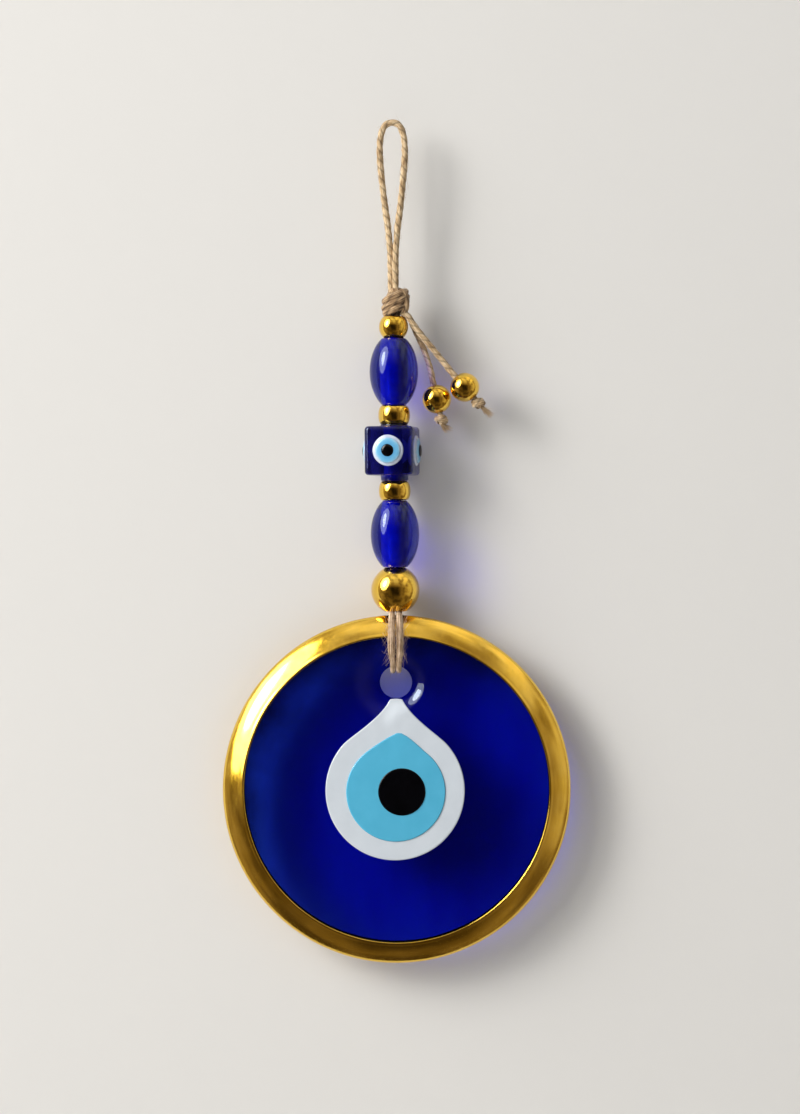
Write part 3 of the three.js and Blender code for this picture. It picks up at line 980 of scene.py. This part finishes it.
def make_disc_glass():
    """The disc: a sheet of glass between the hole's circle and the outer one, front, edge and back."""
    radius = place("glass_disc")[1][0] - GLASS_TRIM
    theta = np.linspace(0, math.tau, 200, endpoint=False)
    ring = np.stack([np.cos(theta), np.sin(theta)], axis=-1)
    hole = ring * HOLE + (0, HOLE_UP)
    shares = np.linspace(0, 1, 90) ** 2.2
    sheet = [hole * (1 - share) + ring * radius * share for share in shares]
    front = [np.stack([p[:, 0], glass_front(p[:, 0], p[:, 1]), p[:, 1]], axis=-1) for p in sheet]
    back = []
    for flat in reversed(sheet):
        from_hole = np.hypot(flat[:, 0], flat[:, 1] - HOLE_UP)
        rise = 0.04 * waves(flat, 11.0, 33) - 0.8 * (1 - smoothstep(from_hole, HOLE, HOLE + 2.0))
        back.append(np.stack([flat[:, 0], GLASS_HALF + rise, flat[:, 1]], axis=-1))
    hole_wall = [back[-1] * (1 - s) + front[0] * s for s in np.linspace(0, 1, 8)[1:-1]]
    rings = np.array([*front, *back, *hole_wall]) + (0, 0, DISC_Z)
    shape = Shape()
    shape.grid(rings, close_rows=True)
    piece = shape.build("disc_cobalt_glass", "disc")
    settle(piece, "disc", "cobalt_glass", "glass_disc")


def make_rim():
    """The gold rim: a band that swells outwards from a crest at its lip, with a channel for the glass."""
    radius, half, _ = place("gold_rim")[1]
    lip = radius - RIM_BAND
    channel = lip + RIM_LAP
    glass = GLASS_HALF + 0.2
    slope = route(
        [
            (lip + 0.02, 0, half - 0.3),
            (lip + 0.25, 0, half - 0.02),
            (lip + 1.3, 0, half - 0.44),
            (lip + 2.3, 0, half - 0.92),
            (lip + 3.3, 0, half - 1.46),
            (lip + 4.3, 0, half - 2.06),
            (lip + 5.3, 0, half - 2.8),
            (radius - 0.38, 0, 0.62),
            (radius, 0, 0),
        ],
        0.12,
    )[:, (0, 2)]
    front = [(r, -y) for r, y in slope]
    back = [(r, y) for r, y in reversed(slope[:-1]) if r > lip + 1.3]
    outline = [(channel, -glass), (lip + 0.15, -glass), *front, *back]
    outline += [(lip + 0.9, half), (lip + 0.25, half), (lip, half - 0.25)]
    outline += [(lip, glass + 0.05), (lip + 0.2, glass)]
    rings = revolve([*outline, (channel, glass)], 288)
    rings = rings * (1 + 0.0006 * waves(rings, 14.0, 51)[..., None])
    swapped = np.stack([rings[..., 0], rings[..., 2], rings[..., 1]], axis=-1)
    shape = Shape()
    shape.grid(swapped + (0, 0, DISC_Z), close_rows=True)
    settle(shape.build("disc_gold_rim", "gold_rim"), "disc", "gold", "gold_rim")


def bezier(a, b, c, d, count):
    """Points along a cubic curve, without its two ends."""
    t = np.linspace(0, 1, count, endpoint=False)[1:, None]
    a, b, c, d = (np.array(p, float) for p in (a, b, c, d))
    return (1 - t) ** 3 * a + 3 * (1 - t) ** 2 * t * b + 3 * (1 - t) * t**2 * c + t**3 * d


def drop_outline(centre, radius, join, tip, half, pull):
    """A circle drawn out to a tip: join is where the circle ends, in degrees above level."""
    angle = math.radians(join)
    circle = arc(centre, (radius, radius), 180 - join, 360 + join, 220)
    end, start = circle[-1], circle[0]
    along = (pull["low"] * math.sin(angle), pull["low"] * math.cos(angle))
    right = bezier(
        end,
        (end[0] - along[0], end[1] + along[1]),
        (tip[0] + half + pull["out"], tip[1] - pull["down"]),
        (tip[0] + half, tip[1]),
        60,
    )
    left = bezier(
        (tip[0] - half, tip[1]),
        (tip[0] - half - pull["out"], tip[1] - pull["down"]),
        (start[0] + along[0], start[1] + along[1]),
        start,
        60,
    )
    turns = np.linspace(0.1, 3.04, 14)
    crown = [(tip[0] + half * math.cos(a), tip[1] + 0.35 * math.sin(a)) for a in turns]
    return np.vstack([circle, right, crown, left])


DROPS = {
    "eye_white": {
        "outline": drop_outline(
            centre=(-0.45, -0.25),
            radius=19.95,
            join=42,
            tip=(0.0, 25.7),
            half=1.85,
            pull={"low": 3, "out": 2.7, "down": 5.3},
        ),
        "top": 0.95,
        "material": "white",
        "slot": "white_glass",
    },
    "eye_light_blue": {
        "outline": drop_outline(
            centre=(-0.25, -0.6),
            radius=14.25,
            join=50,
            tip=(0.7, 15.95),
            half=1.2,
            pull={"low": 3, "out": 2.2, "down": 0.9},
        ),
        "top": 1.3,
        "material": "sky",
        "slot": "sky_glass",
    },
    "eye_pupil": {
        "outline": np.array(arc((1.45, -0.55), (6.8, 6.8), 0, 359, 200)),
        "top": 1.62,
        "material": "black",
        "slot": "black_glass",
    },
}


def make_drop(node_name, drop):
    """One layer of the eye, moulded over the glass, with a rounded edge and a slight crown."""
    outline = drop["outline"]
    following = np.roll(outline, -1, axis=0) - np.roll(outline, 1, axis=0)
    normal = unit(np.stack([following[:, 1], -following[:, 0]], axis=-1))
    middle = outline.mean(axis=0)
    if np.sum(normal * (outline - middle)) < 0:
        normal = -normal
    rows = []

    def ring(flat, height):
        y = glass_front(flat[:, 0], flat[:, 1]) - height
        rows.append(np.stack([flat[:, 0], y, flat[:, 1]], axis=-1))

    top = drop["top"]
    inner = outline - normal * LAYER_EDGE
    for share in (0.0, 0.5):
        ring(middle + (inner - middle) * share, -0.15)
    ring(outline, -0.15)
    for angle in np.radians(np.linspace(0, 90, 8)):
        inset = LAYER_EDGE * (1 - math.cos(angle))
        ring(outline - normal * inset, top - LAYER_EDGE * (1 - math.sin(angle)))
    for share in (0.97, 0.93, 0.87, 0.8, 0.7, 0.6, 0.5, 0.4, 0.3, 0.2, 0.1, 0.0):
        ring(middle + (inner - middle) * share, top + 0.12 * (1 - share**2))
    shape = Shape()
    shape.grid(np.array(rows) + (0, 0, DISC_Z))
    piece = shape.build(node_name + "_layer", drop["material"])
    settle(piece, "disc", drop["slot"], node_name)


# ---- the stage, in metres ----
WALL_Y = 0.0095
FLOOR_Z = -0.9
STRING_MIDDLE = (0, 0, -0.124)


def make_stage():
    """A pale wall just behind the ornament, open to view from behind, and a pale floor far below."""
    wall, tree, shader = new_material("stage_wall", Roughness=0.95)
    put(tree, shader.inputs["Base Color"], (0.74, 0.725, 0.70, 1))
    passed = node(tree, "BsdfTransparent").outputs["BSDF"]
    behind = node(tree, "NewGeometry").outputs["Backfacing"]
    mixed = mix(tree, behind, shader.outputs["BSDF"], passed)
    put(tree, tree.nodes["Material Output"].inputs["Surface"], mixed)
    ground, tree, shader = new_material("stage_floor", Roughness=0.9)
    put(tree, shader.inputs["Base Color"], (0.70, 0.68, 0.65, 1))
    wall_corners = [(x, WALL_Y, z) for x, z in ((-2, FLOOR_Z), (2, FLOOR_Z), (2, 1.5), (-2, 1.5))]
    floor_corners = [(x, y, FLOOR_Z) for x, y in ((-4, -4), (4, -4), (4, 4), (-4, 4))]
    for name, material, corners in (
        ("stage_wall", wall, wall_corners),
        ("stage_floor", ground, floor_corners),
    ):
        mesh = bpy.data.meshes.new(name)
        mesh.from_pydata(corners, [], [(0, 1, 2, 3)])
        mesh.materials.append(material)
        sheet = new_object(name, mesh)
        if name == "stage_floor":
            sheet.visible_glossy = False


def add_lamp(name, towards, distance, width, height, energy):
    """An oval lamp that shines on the ornament from a direction."""
    data = bpy.data.lights.new(name, "AREA")
    data.shape = "ELLIPSE"
    data.size = width
    data.size_y = height
    data.energy = energy
    data.color = (1.0, 0.985, 0.96)
    lamp = new_object(name, data)
    lamp.location = Vector(STRING_MIDDLE) + towards * distance
    lamp.rotation_euler = towards.to_track_quat("Z", "Y").to_euler()
    lamp.visible_camera = False


def make_light():
    """A soft window high on the left, brighter in its middle."""
    towards = Vector((-0.757, -0.479, 0.447)).normalized()
    add_lamp("window", towards, 2.0, 1.45, 2.0, 35.0)
    add_lamp("window_middle", towards, 1.95, 0.5, 0.95, 18.8)


def make_world():
    """Soft room light, with a dim warm room for what the gold and the glass mirror."""
    world = bpy.data.worlds.new("room")
    world.use_nodes = True
    bpy.context.scene.world = world
    tree = world.node_tree
    way = node(tree, "SeparateXYZ", {"Vector": node(tree, "TexCoord").outputs["Generated"]})
    front = spread(tree, way.outputs["Y"], -0.95, -0.40, 0.03, 0.38)
    ceiling = spread(tree, way.outputs["Z"], 0.2, 0.8, 0.0, 0.58)
    right = spread(tree, way.outputs["X"], 0.2, 0.9, 0.0, 0.18)
    floor = spread(tree, way.outputs["Z"], -0.8, -0.1, 0.42, 1.0)
    things = {"Vector": node(tree, "TexCoord").outputs["Generated"], "Scale": 2.6, "Detail": 3.0}
    furniture = spread(tree, node(tree, "TexNoise", things).outputs["Fac"], 0.40, 0.58, 0.45, 1.15)
    high = maths(tree, "ADD", front, ceiling)
    wide = maths(tree, "ADD", high, right)
    low = maths(tree, "MULTIPLY", wide, floor)
    dim = maths(tree, "MULTIPLY", low, furniture)
    warm = ramp(tree, dim, [(0.05, (1.0, 0.70, 0.42)), (0.6, (1.0, 0.92, 0.80))])
    mirrored = node(tree, "Background", {"Color": warm, "Strength": dim})
    soft = node(tree, "Background", {"Color": (0.94, 0.97, 1.0, 1), "Strength": 0.32})
    seen = node(tree, "Background", {"Color": (0.80, 0.79, 0.77, 1), "Strength": 1.0})
    path = node(tree, "LightPath").outputs
    glossy = maths(tree, "MAXIMUM", path["Is Glossy Ray"], path["Is Transmission Ray"])
    inner = mix(tree, glossy, soft.outputs["Background"], mirrored.outputs["Background"])
    outer = mix(tree, path["Is Camera Ray"], inner, seen.outputs["Background"])
    put(tree, tree.nodes["World Output"].inputs["Surface"], outer)


# ---- making it ----
make_tail("outer", 41)
make_tail("inner", 42)
make_loop()
make_knot()
make_strands()
make_lower_cords()
make_beads()
make_cube()
make_cube_eyes()
make_disc_glass()
make_rim()
for drop_name, drop_shape in DROPS.items():
    make_drop(drop_name, drop_shape)
make_stage()
make_light()
make_world()
bpy.context.scene.view_settings.view_transform = "Standard"
